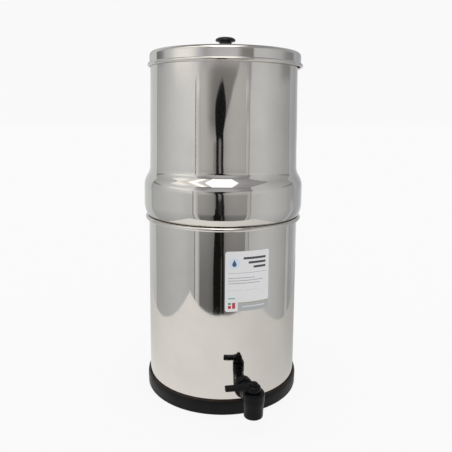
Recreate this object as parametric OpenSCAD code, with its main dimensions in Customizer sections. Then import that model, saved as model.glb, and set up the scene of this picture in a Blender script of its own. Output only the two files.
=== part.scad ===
// Gravity water filter: two nesting steel chambers, a lift-off lid, two ceramic
// candles in the upper chamber and a turn-lever tap on the lower one.
// Millimetres. Origin at the centre of the base's underside, +Z up, tap towards -Y.

/* [Lower chamber] */
// Outside radius of the lower chamber's wall
body_r = 108; // [104:0.5:112]
// Height of the rolled rim's middle above the table
rim_z = 252.3; // [242:0.1:262]
// Sheet thickness of both chambers
wall = 0.8; // [0.6:0.1:0.9]
// Height of the black base ring
ring_h = 20.3; // [16:0.1:22]
// How far the base ring stands out from the wall at its widest
ring_t = 3.4; // [2.8:0.1:4.4]

/* [Upper chamber] */
// How much smaller the upper wall's radius is, under the lid, than the lower wall's
upper_step = 3.7; // [3:0.1:4]
// How much wider the upper wall is above the bulge than under the lid
taper = 1.2; // [0:0.1:1.6]
// How far the bulge stands out past the lower wall
bulge_out = 6.4; // [5.6:0.1:7.2]
// Height from the seam to the rim under the lid
upper_h = 226.0; // [220:0.1:250]
// How deep the upper chamber nests in the lower one
nest_depth = 8.3; // [7:0.1:12]

/* [Lid] */
// Sheet thickness of the lid
lid_t = 0.6; // [0.5:0.05:0.7]
// Depth of the lid's skirt, from its shoulder to its rolled edge
skirt_h = 12.6; // [11.5:0.1:18]
// Rise of the lid's middle above its shoulder
crown = 3.3; // [2.5:0.1:5]
// How far the lid sits off centre, to the right
lid_off = 1.6; // [0:0.1:1.6]
// Diameter of the knob's head
knob_d = 28.6; // [26:0.1:34]
// Height of the knob
knob_h = 19.1; // [16:0.1:24]

/* [Filter candles] */
// Radius of a ceramic candle
candle_r = 25.4; // [22:0.2:26]
// Length of a candle, from its seat to its tip
candle_l = 178; // [120:1:190]
// Distance of each candle from the middle
candle_at = 52; // [50:0.5:56]
// Radius of the threaded stems
stem_r = 6; // [5:0.1:6.4]

/* [Tap] */
// Height of the tap's shank above the table
tap_z = 37.2; // [35.8:0.1:42]
// Distance of the spout's axis from the wall
tap_reach = 41.7; // [38:0.1:50]
// Radius of the spout
spout_r = 12.5; // [12:0.1:13]
// Radius of the tap's collar
collar_r = 14; // [13.6:0.1:15]
// Length of the lever from its axis
lever_l = 36.7; // [30:0.1:48]
// Width of the lever
lever_w = 8; // [6:0.1:10]
// Angle of the closed lever past square, towards the wall
lever_rest = 5.5; // [0:0.5:8]

/* [Label] */
// Width of the front label along the wall
label_w = 61.4; // [40:0.1:70]
// Height of the front label
label_h = 80.5; // [50:0.5:100]
// Height of the label's lower edge above the table
label_z = 143.0; // [120:0.1:145]

/* [Hidden] */
$fn = 96;

steel = [0.78, 0.77, 0.75];
black = [0.07, 0.07, 0.075];
rubber = [0.12, 0.12, 0.12];
ceramic = [0.93, 0.91, 0.86];
white = [0.90, 0.91, 0.90];
paper = [0.95, 0.95, 0.94];

seam_z = rim_z + 3.2;
upper_r = body_r - upper_step;
bulge_r = body_r + bulge_out;
nest_r = body_r - 1.8;
floor_z = seam_z - nest_depth;          // underside of the upper chamber's floor
seat_z = floor_z + wall;                // where the candles stand
rim2_z = seam_z + upper_h - wall/2 - 1.4; // middle of the upper chamber's inward roll
lid_r = upper_r + 2.7;                  // outside of the lid's skirt
shoulder_z = rim2_z - 0.9;              // middle of the lid's shoulder arc
lid_top = shoulder_z + 5.5;             // outside of the lid at its shoulder
knob_z = lid_top + crown;               // where the knob stands
tap_y = -(body_r + tap_reach);
spout_z = tap_z - 17;
collar_z = tap_z + 16;
shank_r = 8;
bore_r = 9;

// Points along an elliptical arc
function arc(cx, cz, rx, rz, a0, a1, n) =
  [for (i = [0:n]) let(a = a0 + (a1 - a0)*i/n) [cx + rx*cos(a), cz + rz*sin(a)]];
function unit(v) = v / norm(v);
function left(v) = [-v[1], v[0]];
// Side normal at point i of a path, lengthened so that each stretch stays parallel
function mitre(p, i) =
  let(n = len(p),
      a = left(unit(p[max(i, 1)] - p[max(i, 1) - 1])),
      b = left(unit(p[min(i + 1, n - 1)] - p[min(i + 1, n - 1) - 1])),
      m = unit(a + b))
  m / (m*a);
function beside(p, d) = [for (i = [0:len(p) - 1]) p[i] + d*mitre(p, i)];
function reversed(p) = [for (i = [len(p) - 1:-1:0]) p[i]];

// A sheet of thickness t that follows a path in the r-z plane, turned about Z
module turned_sheet(p, t) {
  rotate_extrude() polygon(concat(beside(p, t/2), reversed(beside(p, -t/2))));
}
module at_tap() { translate([0, tap_y, 0]) children(); }
module along_y(y0, y1, r) { translate([0, y0, tap_z]) rotate([-90, 0, 0]) cylinder(h = y1 - y0, r = r); }
module candle_seats() { for (s = [-1, 1]) translate([s*candle_at, 0, 0]) children(); }
module at_lid() { rotate([0, 0, -16]) translate([lid_off, 0, 0]) children(); }
module plug_seats() { for (s = [-1, 1]) translate([0, s*candle_at, 0]) children(); }

// ---------------------------------------------------------------- lower chamber

// Middle of the sheet: a straight wall with its rim rolled outwards, on a flat bottom with a rounded corner
lower_wall_path = concat(
  [[body_r - wall/2, 12]],
  arc(body_r - wall/2 + 2.55, rim_z, 2.55, 2.5, 180, -130, 14));
lower_floor_path = concat(
  [[0, 3 + wall/2]],
  arc(body_r - 6, 9, 6 - wall/2, 6 - wall/2, -90, 0, 5),
  [[body_r - wall/2, 12]]);

module lower_chamber_wall() color(steel)
  difference() {
    turned_sheet(lower_wall_path, wall);
    along_y(-body_r - 2, -body_r + 6, shank_r + 0.2);
  }

module lower_chamber_floor() color(steel) turned_sheet(lower_floor_path, wall);

// Slightly barrelled outside, its upper edge rounded over, with a narrow ledge under the chamber's corner
module base_ring() color(black)
  rotate_extrude() polygon(concat(
    [[body_r - 8, 0]],
    arc(body_r + ring_t - 1.6, 1.2, 1.2, 1.2, -90, 0, 4),
    [[body_r + ring_t - 0.3, 4.6], [body_r + ring_t - 0.15, 8]],
    arc(body_r + ring_t - 2.2, 0.64*ring_h, 2.2, 0.36*ring_h, 0, 90, 6),
    [[body_r + 0.05, ring_h]],
    [[body_r + 0.05, 9]],
    arc(body_r - 6, 9, 6.05, 6.05, 0, -84, 8),
    [[body_r - 6.6, 3], [body_r - 8, 3]]));

// A thin sheet that follows the wall, off centre to the right
module front_label() color(paper)
  intersection() {
    difference() {
      translate([0, 0, label_z]) cylinder(h = label_h, r = body_r + 0.2);
      translate([0, 0, label_z - 1]) cylinder(h = label_h + 2, r = body_r);
    }
    rotate([0, 0, 180/PI*4.55/body_r])
      translate([-body_r*sin(label_w/body_r*90/PI), -body_r - 5, label_z - 1])
        cube([2*body_r*sin(label_w/body_r*90/PI), body_r, label_h + 2]);
  }

// ------------------------------------------------------------------------- tap

// Fixed body: flange and threaded shank, collar, and the spout below it
module tap_body() color(black)
  difference() {
    union() {
      at_tap() rotate_extrude() polygon(concat(
        [[0, spout_z], [spout_r - 1, spout_z], [spout_r - 0.2, spout_z + 0.8],
         [spout_r + 0.2, tap_z - 4], [collar_r - 0.1, tap_z + 2.6], [collar_r, collar_z - 1.2],
         [collar_r - 1.2, collar_z], [0, collar_z]]));
      along_y(tap_y + 6, -body_r - 5.7, 9.6);
      along_y(-body_r - 5.7, -body_r - 2, 13.4);
      along_y(-body_r - 2, -body_r + 22, shank_r);
    }
    // Plug bore, its shoulder, the seat of the retaining ring and the outlet
    at_tap() translate([0, 0, tap_z - 9]) cylinder(h = 40, r = bore_r);
    at_tap() translate([0, 0, collar_z - 3.6]) cylinder(h = 10, r = 11);
    at_tap() translate([0, 0, spout_z - 1]) cylinder(h = 20, r = 8);
    // Inlet
    along_y(tap_y, -body_r + 23, 5);
  }

module tap_outer_washer() color(rubber)
  difference() {
    along_y(-body_r - 2, -body_r + 4, 13.4);
    cylinder(h = 100, r = body_r + 0.06);
    along_y(-body_r - 3, -body_r + 5, shank_r + 0.1);
  }

module tap_inner_washer() color(rubber)
  difference() {
    intersection() {
      along_y(-body_r - 1, -body_r + 4, 13.4);
      cylinder(h = 100, r = body_r - wall - 0.06);
    }
    along_y(-body_r - 3, -body_r + 5, shank_r + 0.1);
  }

module tap_back_nut() color(black)
  difference() {
    union() {
      translate([0, -body_r + 5, tap_z]) rotate([-90, 0, 0]) rotate([0, 0, 30]) cylinder(h = 8, r = 16, $fn = 6);
      along_y(-body_r + 4, -body_r + 5, 13.4);
    }
    along_y(-body_r + 3, -body_r + 14, shank_r + 0.02);
  }

// Ring snapped into the collar's mouth, which keeps the plug down
module tap_retaining_ring() color(black)
  at_tap() difference() {
    translate([0, 0, collar_z - 3.6]) cylinder(h = 3.6, r = 10.98);
    translate([0, 0, collar_z - 4]) cylinder(h = 5, r = 5.1);
  }

// Ported plug: hollow from below, one port at the side, square-shouldered drive on top
module tap_plug() color(black)
  at_tap() difference() {
    union() {
      translate([0, 0, tap_z - 8.7]) cylinder(h = 20.8, r = bore_r - 0.05);
      translate([0, 0, tap_z + 12]) cylinder(h = 4.3, r = 5);
      intersection() {
        translate([0, 0, tap_z + 16]) cylinder(h = 5.6, r = 4.9);
        translate([-5, -3.6, tap_z + 16]) cube([10, 7.2, 5.6]);
      }
    }
    translate([0, 0, tap_z - 9]) cylinder(h = 15.6, r = 6);
    translate([0, 0, tap_z]) rotate([0, 90, 0]) cylinder(h = 12, r = 5);
    for (z = [tap_z - 6.9, tap_z + 9.6]) translate([0, 0, z - 1]) difference() {
      cylinder(h = 2, r = 12);
      translate([0, 0, -1]) cylinder(h = 4, r = 7.4);
    }
    translate([0, 0, tap_z + 14]) cylinder(h = 10, r = 1.5);
  }

module tap_plug_o_rings() color(rubber)
  at_tap() for (z = [tap_z - 6.9, tap_z + 9.6])
    translate([0, 0, z]) rotate_extrude() translate([8.19, 0]) circle(r = 0.77, $fn = 32);

// Lever: domed hub with a flat arm, closed to the left
module tap_lever() color(black)
  at_tap() rotate([0, 0, -lever_rest]) difference() {
    union() {
      rotate_extrude() polygon(concat(
        [[0, collar_z + 0.5], [8.8, collar_z + 0.5], [9.4, collar_z + 1.1]],
        arc(3.9, collar_z + 3.7, 5.5, 5.5, 0, 60, 6),
        [[0, collar_z + 8.5]]));
      translate([0, 0, collar_z + 3.9]) linear_extrude(4.9) polygon(concat(
        [[0, lever_w/2 + 1.4], [-9, lever_w/2 + 1.0], [-14, lever_w/2]],
        arc(-lever_l + 1.2, lever_w/2 - 1.2, 1.2, 1.2, 90, 180, 4),
        arc(-lever_l + 1.2, -lever_w/2 + 1.2, 1.2, 1.2, 180, 270, 4),
        [[-14, -lever_w/2], [-9, -lever_w/2 - 1.0], [0, -lever_w/2 - 1.4]]));
    }
    // Drive socket, screw passage and cap recess
    rotate([0, 0, lever_rest]) intersection() {
      translate([0, 0, collar_z]) cylinder(h = 5.8, r = 5.05);
      translate([-6, -3.65, collar_z]) cube([12, 7.3, 6]);
    }
    translate([0, 0, collar_z]) cylinder(h = 20, r = 1.7);
    translate([0, 0, collar_z + 6.6]) cylinder(h = 10, r = 5.6);
  }

module tap_lever_screw() color([0.7, 0.7, 0.72])
  at_tap() difference() {
    union() {
      translate([0, 0, tap_z + 14.5]) cylinder(h = 8.3, r = 1.49);
      translate([0, 0, collar_z + 6.6]) cylinder(h = 1.6, r = 3);
    }
    for (a = [0, 90]) rotate([0, 0, a]) translate([-1.8, -0.4, collar_z + 7.5]) cube([3.6, 0.8, 2]);
  }

module tap_lever_cap() color(black)
  at_tap() rotate_extrude() polygon(concat(
    [[3.4, collar_z + 7.1], [5.55, collar_z + 7.1], [5.55, collar_z + 9.5]],
    arc(3.4, collar_z + 9.5, 2.15, 2.1, 15, 75, 4),
    [[0, collar_z + 11.8], [0, collar_z + 9.7], [3.4, collar_z + 9.7]]));

// ---------------------------------------------------------------- upper chamber

// The bulge's upper shoulder: a convex arc, a concave one, a short easing, then a slight taper up to the lid
ease = taper + 0.5;
shoulder2_z = seam_z + 41.8 + 27.5*sin(32)
  + (bulge_r - upper_r - 27.5*(1 - cos(32)) - ease - 24*(1 - cos(32)))*tan(58) + 24*sin(32);
upper_wall_path = concat(
  [[nest_r - wall/2, floor_z + 5]],
  arc(nest_r - wall/2 + 1.2, seam_z - 0.8, 1.2, 1.2, 180, 90, 3),
  arc(body_r + 0.6, seam_z + 1.6, 1.2, 1.2, -90, -30, 2),
  arc(bulge_r - 38 - wall/2, seam_z + 17.7, 38, 38, -24, 0, 5),
  arc(bulge_r - 27.5 - wall/2, seam_z + 41.8, 27.5, 27.5, 0, 32, 7),
  reversed(arc(upper_r + ease + 24 - wall/2, shoulder2_z, 24, 24, 180, 212, 6)),
  [for (i = [1:3]) let(h = i/3) [upper_r + taper + (ease - taper)*(1 - h)*(1 - h)*(1 - h)*(1 + 2.2*h) - wall/2,
     shoulder2_z + 34*h]],
  [for (i = [1:3]) let(h = i/4) [upper_r + taper*(0.5 + 0.5*cos(180*h)) - wall/2,
     shoulder2_z + 34 + (rim2_z - 3 - shoulder2_z - 34)*h]],
  arc(upper_r - wall/2 - 1.4, rim2_z, 1.4, 1.4, 0, 300, 10));
upper_floor_path = concat(
  [[0, floor_z + wall/2]],
  arc(nest_r - 4, floor_z + 4, 4 - wall/2, 4 - wall/2, -90, 0, 4),
  [[nest_r - wall/2, floor_z + 5]]);

module upper_chamber_wall() color(steel) turned_sheet(upper_wall_path, wall);

module upper_chamber_floor() color(steel)
  difference() {
    turned_sheet(upper_floor_path, wall);
    candle_seats() translate([0, 0, floor_z - 1]) cylinder(h = 3, r = stem_r + 0.4);
    plug_seats() translate([0, 0, floor_z - 1]) cylinder(h = 3, r = stem_r + 0.4);
  }

// --------------------------------------------------------------------- candles

cap_z = seat_z + 3;       // underside of a candle's base
shell_z = cap_z + 7;      // underside of the ceramic
shell_top = cap_z + candle_l;

// Ceramic shell with a domed top, open below
module candle_shell() color(ceramic)
  rotate_extrude() polygon(concat(
    [[candle_r - 8, shell_z], [candle_r, shell_z]],
    arc(candle_r - 14, shell_top - 14, 14, 14, 0, 90, 10),
    [[0, shell_top], [0, shell_top - 8]],
    arc(candle_r - 14, shell_top - 14, 6, 6, 90, 0, 6)));

module candle_core() color([0.13, 0.13, 0.13])
  translate([0, 0, shell_z + 6.2]) cylinder(h = shell_top - 11 - shell_z - 6.2, r = candle_r - 9.5);

// Plastic base with an upstand for the ceramic and a bored threaded stem
module candle_base() color(white)
  difference() {
    union() {
      rotate_extrude() polygon([[0, cap_z], [candle_r - 1.2, cap_z], [candle_r, cap_z + 1.2],
        [candle_r, shell_z], [candle_r - 8.1, shell_z], [candle_r - 8.1, shell_z + 6],
        [0, shell_z + 6]]);
      translate([0, 0, floor_z - 24]) cylinder(h = cap_z - floor_z + 24.5, r = stem_r);
    }
    translate([0, 0, floor_z - 25]) cylinder(h = 80, r = 2.2);
    translate([0, 0, shell_z + 2]) cylinder(h = 5, r = candle_r - 11);
  }

module seal(h) difference() {
  cylinder(h = h, r = 13);
  translate([0, 0, -1]) cylinder(h = h + 2, r = stem_r + 0.1);
}
module wing_nut() difference() {
  union() {
    translate([0, 0, floor_z - 9]) cylinder(h = 9, r = 10);
    for (s = [0, 180]) rotate([0, 0, s + 25]) intersection() {
      translate([7, -2, floor_z - 14]) cube([11, 4, 13]);
      translate([9.5, 3, floor_z - 6]) rotate([90, 0, 0]) cylinder(h = 6, r = 8.2);
    }
  }
  translate([0, 0, floor_z - 20]) cylinder(h = 30, r = stem_r + 0.02);
}

module left_candle_shell() translate([-candle_at, 0, 0]) candle_shell();
module left_candle_core() translate([-candle_at, 0, 0]) candle_core();
module left_candle_base() translate([-candle_at, 0, 0]) candle_base();
module right_candle_shell() translate([candle_at, 0, 0]) candle_shell();
module right_candle_core() translate([candle_at, 0, 0]) candle_core();
module right_candle_base() translate([candle_at, 0, 0]) candle_base();
module candle_washers() color(rubber) candle_seats() translate([0, 0, seat_z]) seal(3);
module candle_wing_nuts() color(white) candle_seats() wing_nut();

// Stoppers for the two spare holes
module blanking_plugs() color(white) plug_seats() {
  rotate_extrude() polygon(concat(
    [[0, seat_z + 2.5], [11.5, seat_z + 2.5], [11.5, seat_z + 5]],
    arc(9, seat_z + 5, 2.5, 2.5, 15, 90, 4), [[0, seat_z + 7.5]]));
  translate([0, 0, floor_z - 15]) cylinder(h = seat_z - floor_z + 18, r = stem_r);
}
module blanking_washers() color(rubber) plug_seats() translate([0, 0, seat_z]) seal(2.5);
module blanking_nuts() color(white) plug_seats() difference() {
  translate([0, 0, floor_z - 8]) cylinder(h = 8, r = 11, $fn = 6);
  translate([0, 0, floor_z - 9]) cylinder(h = 10, r = stem_r + 0.02);
}

// ------------------------------------------------------------------------- lid

// Middle of the sheet: flat seat for the knob and shallow crown, then shoulder, skirt and rolled edge
lid_top_path = concat(
  [[0, knob_z - lid_t/2], [15, knob_z - lid_t/2]],
  [for (i = [1:6]) let(h = i/7) [15 + (lid_r - 6.5 - 15)*h,
     lid_top + crown*(0.5 + 0.5*cos(180*h)) - lid_t/2]],
  [[lid_r - 6.5, lid_top - lid_t/2], [lid_r - 6, lid_top - lid_t/2]]);
lid_skirt_path = concat(
  [[lid_r - 6, lid_top - lid_t/2]],
  arc(lid_r - 5.5, shoulder_z, 5.5 - lid_t/2, 5.5 - lid_t/2, 90, 0, 6),
  arc(lid_r - lid_t/2 + 1.5, shoulder_z - skirt_h, 1.5, 2.2, 180, 440, 12));

module lid_top() color(steel)
  at_lid() difference() {
    turned_sheet(lid_top_path, lid_t);
    translate([0, 0, knob_z - 5]) cylinder(h = 10, r = 2.7);
  }

module lid_skirt() color(steel)
  at_lid() turned_sheet(lid_skirt_path, lid_t);

// Black knob: fluted neck under a flat-topped head with a rounded edge
module lid_knob() color(black)
  at_lid() difference() {
    rotate_extrude() polygon(concat(
      [[0, knob_z], [9.6, knob_z], [9.6, knob_z + 1.2], [8.9, knob_z + 2],
       [8.7, knob_z + 8], [9.1, knob_z + knob_h - 6.8]],
      arc(knob_d/2 - 1.6, knob_z + knob_h - 4.1, 1.6, 2.2, -70, 0, 4),
      arc(knob_d/2 - 8.8, knob_z + knob_h - 4.1, 8.8, 4.1, 10, 90, 8),
      [[0, knob_z + knob_h]]));
    for (a = [0:20:340]) rotate([0, 0, a])
      translate([9.5, 0, knob_z + 2]) cylinder(h = knob_h - 9.6, r = 0.9, $fn = 24);
    translate([0, 0, knob_z - 1]) cylinder(h = 12, r = 2.5);
  }

module lid_knob_washer() color(steel)
  at_lid() difference() {
    translate([0, 0, knob_z - lid_t - 1.2]) cylinder(h = 1.2, r = 7);
    translate([0, 0, knob_z - 5]) cylinder(h = 6, r = 2.6);
  }

module lid_knob_screw() color(steel)
  at_lid() difference() {
    union() {
      translate([0, 0, knob_z - lid_t - 1.2]) cylinder(h = lid_t + 1.2 + 10, r = 2.48);
      translate([0, 0, knob_z - lid_t - 3.8]) cylinder(h = 2.6, r = 4.6);
    }
    for (a = [0, 90]) rotate([0, 0, a])
      translate([-2.8, -0.6, knob_z - lid_t - 4]) cube([5.6, 1.2, 1.6]);
  }

lower_chamber_wall();
lower_chamber_floor();
base_ring();
front_label();
tap_body();
tap_outer_washer();
tap_inner_washer();
tap_back_nut();
tap_retaining_ring();
tap_plug();
tap_plug_o_rings();
tap_lever();
tap_lever_screw();
tap_lever_cap();
upper_chamber_wall();
upper_chamber_floor();
left_candle_shell();
left_candle_core();
left_candle_base();
right_candle_shell();
right_candle_core();
right_candle_base();
candle_washers();
candle_wing_nuts();
blanking_plugs();
blanking_washers();
blanking_nuts();
lid_top();
lid_skirt();
lid_knob();
lid_knob_washer();
lid_knob_screw();
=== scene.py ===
from math import atan2, cos, degrees, hypot, pi, radians, sin, tan

import bmesh
import bpy
from mathutils import Matrix, Vector


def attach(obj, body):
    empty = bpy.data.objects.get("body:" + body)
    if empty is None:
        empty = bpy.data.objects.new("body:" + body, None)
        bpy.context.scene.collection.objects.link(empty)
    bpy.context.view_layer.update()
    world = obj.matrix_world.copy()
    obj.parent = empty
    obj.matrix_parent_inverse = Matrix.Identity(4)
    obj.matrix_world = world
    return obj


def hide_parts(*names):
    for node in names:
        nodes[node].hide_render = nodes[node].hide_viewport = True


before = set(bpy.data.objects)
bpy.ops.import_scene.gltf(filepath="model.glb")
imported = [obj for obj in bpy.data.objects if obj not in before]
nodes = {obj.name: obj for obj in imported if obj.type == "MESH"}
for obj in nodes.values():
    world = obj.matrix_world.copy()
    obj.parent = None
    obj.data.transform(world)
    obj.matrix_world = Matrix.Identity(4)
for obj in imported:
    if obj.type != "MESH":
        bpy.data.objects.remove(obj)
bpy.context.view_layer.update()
scene = bpy.context.scene
MM = 0.001

# ------------------------------------------------------------------ sizes, in mm
BODY_R, RIM_Z, WALL = 108.0, 252.3, 0.8
SEAM_Z, UPPER_R, BULGE_R, NEST_R = 255.5, 104.3, 114.4, 106.2
TAPER = 1.2
FLOOR_Z, RIM2_Z = 247.2, 479.7
LID_R, LID_T, SHOULDER_Z, LID_TOP, KNOB_Z = 107.0, 0.6, 478.8, 484.3, 487.6
SKIRT_H, CROWN = 12.6, 3.3
KNOB_R, KNOB_H = 14.3, 19.1
RING_H, RING_T = 20.3, 3.4
TAP_Y, TAP_Z, COLLAR_Z = -149.7, 37.2, 53.2
SPOUT_Z, SPOUT_R, COLLAR_R = 20.2, 12.5, 14.0
LEVER_L, LEVER_W, LEVER_REST = 36.7, 8.0, 5.5
LABEL_MID, LABEL_W, LABEL_H, LABEL_Z = 4.55, 61.4, 80.5, 143.0
# the lid sits a little off centre
LID_X, LID_Y = 1.6 * cos(radians(-16.0)), 1.6 * sin(radians(-16.0))

# The stage is laid out about the camera's own heading, which is turned from the row's axes.
TURN = radians(-16.0)


def staged(x, y, z):
    """A point of the stage, in mm, x to the right, y away from the camera, z from 1.2 mm above the floor, as a point of the row frame in metres."""
    return Vector(((x * cos(TURN) - y * sin(TURN)) * MM, (x * sin(TURN) + y * cos(TURN)) * MM, (z + 1.2) * MM))


# ------------------------------------------------------------------------ camera
cam_data = bpy.data.cameras.new("camera")
cam_data.sensor_width = 36.0
cam_data.lens = 41.302
cam_data.shift_y = -0.0898
cam_data.clip_start, cam_data.clip_end = 0.01, 60.0
cam = bpy.data.objects.new("camera", cam_data)
scene.collection.objects.link(cam)
cam.matrix_world = (
    Matrix.Translation(staged(4.14, -756.69, 395.57))
    @ Matrix.Rotation(TURN, 4, "Z")
    @ Matrix.Rotation(radians(90 - 7.659), 4, "X")
    @ Matrix.Rotation(radians(0.512), 4, "Z")
)
scene.camera = cam
scene.view_settings.view_transform = "Standard"
scene.view_settings.look = "None"
scene.cycles.use_denoising = True


# ----------------------------------------------------------------- node materials
def material(name):
    m = bpy.data.materials.new(name)
    m.use_nodes = True
    m.node_tree.nodes.clear()
    out = m.node_tree.nodes.new("ShaderNodeOutputMaterial")
    return m, m.node_tree, out


def node(tree, kind, **values):
    n = tree.nodes.new(kind)
    for k, v in values.items():
        if k in n.bl_rna.properties:
            setattr(n, k, v)
        else:
            n.inputs[k.replace("_", " ")].default_value = v
    return n


def math(tree, op, a, b=None, c=None, clamp=False):
    n = tree.nodes.new("ShaderNodeMath")
    n.operation, n.use_clamp = op, clamp
    for i, v in enumerate((a, b, c)):
        if v is None:
            continue
        if isinstance(v, (int, float)):
            n.inputs[i].default_value = v
        else:
            tree.links.new(v, n.inputs[i])
    return n.outputs[0]


def spread(tree, value, lo, hi, a, b):
    """value from lo..hi mapped to a..b, clamped and smooth."""
    n = tree.nodes.new("ShaderNodeMapRange")
    n.interpolation_type = "SMOOTHSTEP"
    tree.links.new(value, n.inputs["Value"])
    n.inputs["From Min"].default_value, n.inputs["From Max"].default_value = lo, hi
    n.inputs["To Min"].default_value, n.inputs["To Max"].default_value = a, b
    return n.outputs["Result"]


def ramp(tree, value, stops, interpolation="LINEAR"):
    n = tree.nodes.new("ShaderNodeValToRGB")
    n.color_ramp.interpolation = interpolation
    e = n.color_ramp.elements
    while len(e) < len(stops):
        e.new(0.5)
    for el, (p, c) in zip(e, stops):
        el.position = p
        el.color = (c, c, c, 1) if isinstance(c, (int, float)) else (*c, 1)
    tree.links.new(value, n.inputs["Fac"])
    return n.outputs["Color"]


def noise(tree, coords, scale, detail=3.0, rough=0.5, stretch=(1, 1, 1)):
    """Noise on stretched object coordinates: stretch multiplies x, y and z."""
    m = tree.nodes.new("ShaderNodeMapping")
    m.inputs["Scale"].default_value = stretch
    tree.links.new(coords, m.inputs["Vector"])
    n = node(tree, "ShaderNodeTexNoise", Scale=scale, Detail=detail, Roughness=rough)
    tree.links.new(m.outputs["Vector"], n.inputs["Vector"])
    return n.outputs["Fac"]


def polar(tree):
    """Object coordinates unrolled about the Z axis: metres along the wall, distance from the axis, height."""
    tc = tree.nodes.new("ShaderNodeTexCoord")
    sep = tree.nodes.new("ShaderNodeSeparateXYZ")
    tree.links.new(tc.outputs["Object"], sep.inputs[0])
    x, y, z = sep.outputs
    ang = math(tree, "ARCTAN2", x, y)
    rad = math(tree, "SQRT", math(tree, "ADD", math(tree, "MULTIPLY", x, x), math(tree, "MULTIPLY", y, y)))
    return tc.outputs["Object"], ang, rad, z


def principled(tree, out):
    p = tree.nodes.new("ShaderNodeBsdfPrincipled")
    tree.links.new(p.outputs[0], out.inputs["Surface"])
    return p


def bump(tree, height, strength, distance, normal=None):
    b = node(tree, "ShaderNodeBump", Strength=strength, Distance=distance)
    tree.links.new(height, b.inputs["Height"])
    if normal is not None:
        tree.links.new(normal, b.inputs["Normal"])
    return b.outputs["Normal"]


def mixed(tree, fac, a, b):
    n = tree.nodes.new("ShaderNodeMix")
    n.data_type = "RGBA"
    tree.links.new(fac, n.inputs["Factor"])
    for sock, v in (("A", a), ("B", b)):
        i = [s for s in n.inputs if s.name == sock and s.type == "RGBA"][0]
        if isinstance(v, tuple):
            i.default_value = (*v, 1)
        else:
            tree.links.new(v, i)
    return [s for s in n.outputs if s.type == "RGBA"][0]


def steel_material(name, base=(0.68, 0.65, 0.60), rough=0.05, wave=0.00006, lines=0.5, floor=None):
    """Polished stainless steel: hairlines round the vessel from spinning, faint smudges, a slight waviness.
    With floor, the height of a vessel's floor in mm, its inside is left satin."""
    m, t, out = material(name)
    p = principled(t, out)
    p.inputs["Metallic"].default_value = 1.0
    obj, ang, rad, z = polar(t)
    cloud = noise(t, obj, 14.0, 4.0, 0.6)
    smudge = noise(t, obj, 55.0, 5.0, 0.65)
    dark = tuple(c * 0.93 for c in base)
    t.links.new(mixed(t, spread(t, cloud, 0.3, 0.72, 0.0, 1.0), base, dark), p.inputs["Base Color"])
    # hairlines: very fine along the height, long round the wall
    comb = t.nodes.new("ShaderNodeCombineXYZ")
    t.links.new(math(t, "MULTIPLY", ang, 0.6), comb.inputs[0])
    t.links.new(math(t, "MULTIPLY", z, 900.0), comb.inputs[1])
    t.links.new(math(t, "MULTIPLY", rad, 900.0), comb.inputs[2])
    hair = node(t, "ShaderNodeTexNoise", Scale=1.0, Detail=4.0, Roughness=0.7)
    t.links.new(comb.outputs[0], hair.inputs["Vector"])
    r = math(t, "ADD", math(t, "MULTIPLY", hair.outputs["Fac"], 0.05), rough - 0.02)
    r = math(t, "ADD", r, spread(t, smudge, 0.55, 0.75, 0.0, 0.03))
    if floor is not None:
        # a face is inside where it looks at the axis, or up from just above the floor
        nor = t.nodes.new("ShaderNodeSeparateXYZ")
        t.links.new(t.nodes.new("ShaderNodeTexCoord").outputs["Normal"], nor.inputs[0])
        out_x = math(t, "MULTIPLY", nor.outputs[0], math(t, "SINE", ang))
        outward = math(t, "MULTIPLY_ADD", nor.outputs[1], math(t, "COSINE", ang), out_x)
        wall = spread(t, outward, -0.75, -0.35, 1.0, 0.0)
        base_up = math(t, "MULTIPLY", spread(t, nor.outputs[2], 0.2, 0.6, 0.0, 1.0), math(t, "LESS_THAN", z, (floor + 8) * MM))
        inside = math(t, "MAXIMUM", wall, base_up)
        t.links.new(math(t, "SUBTRACT", 1.0, math(t, "MULTIPLY", inside, 0.45)), p.inputs["Metallic"])
        r = math(t, "MULTIPLY_ADD", inside, 0.27, r)
    t.links.new(math(t, "MAXIMUM", r, 0.01), p.inputs["Roughness"])
    # slow waviness left by forming, longer up the wall than round it
    comb2 = t.nodes.new("ShaderNodeCombineXYZ")
    t.links.new(math(t, "SINE", ang), comb2.inputs[0])
    t.links.new(math(t, "COSINE", ang), comb2.inputs[1])
    t.links.new(math(t, "MULTIPLY", z, 2.2), comb2.inputs[2])
    slow = node(t, "ShaderNodeTexNoise", Scale=3.2, Detail=2.0, Roughness=0.5)
    t.links.new(comb2.outputs[0], slow.inputs["Vector"])
    n = bump(t, slow.outputs["Fac"], 1.0, wave)
    n = bump(t, hair.outputs["Fac"], lines, 0.0000010, n)
    t.links.new(n, p.inputs["Normal"])
    return m


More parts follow.
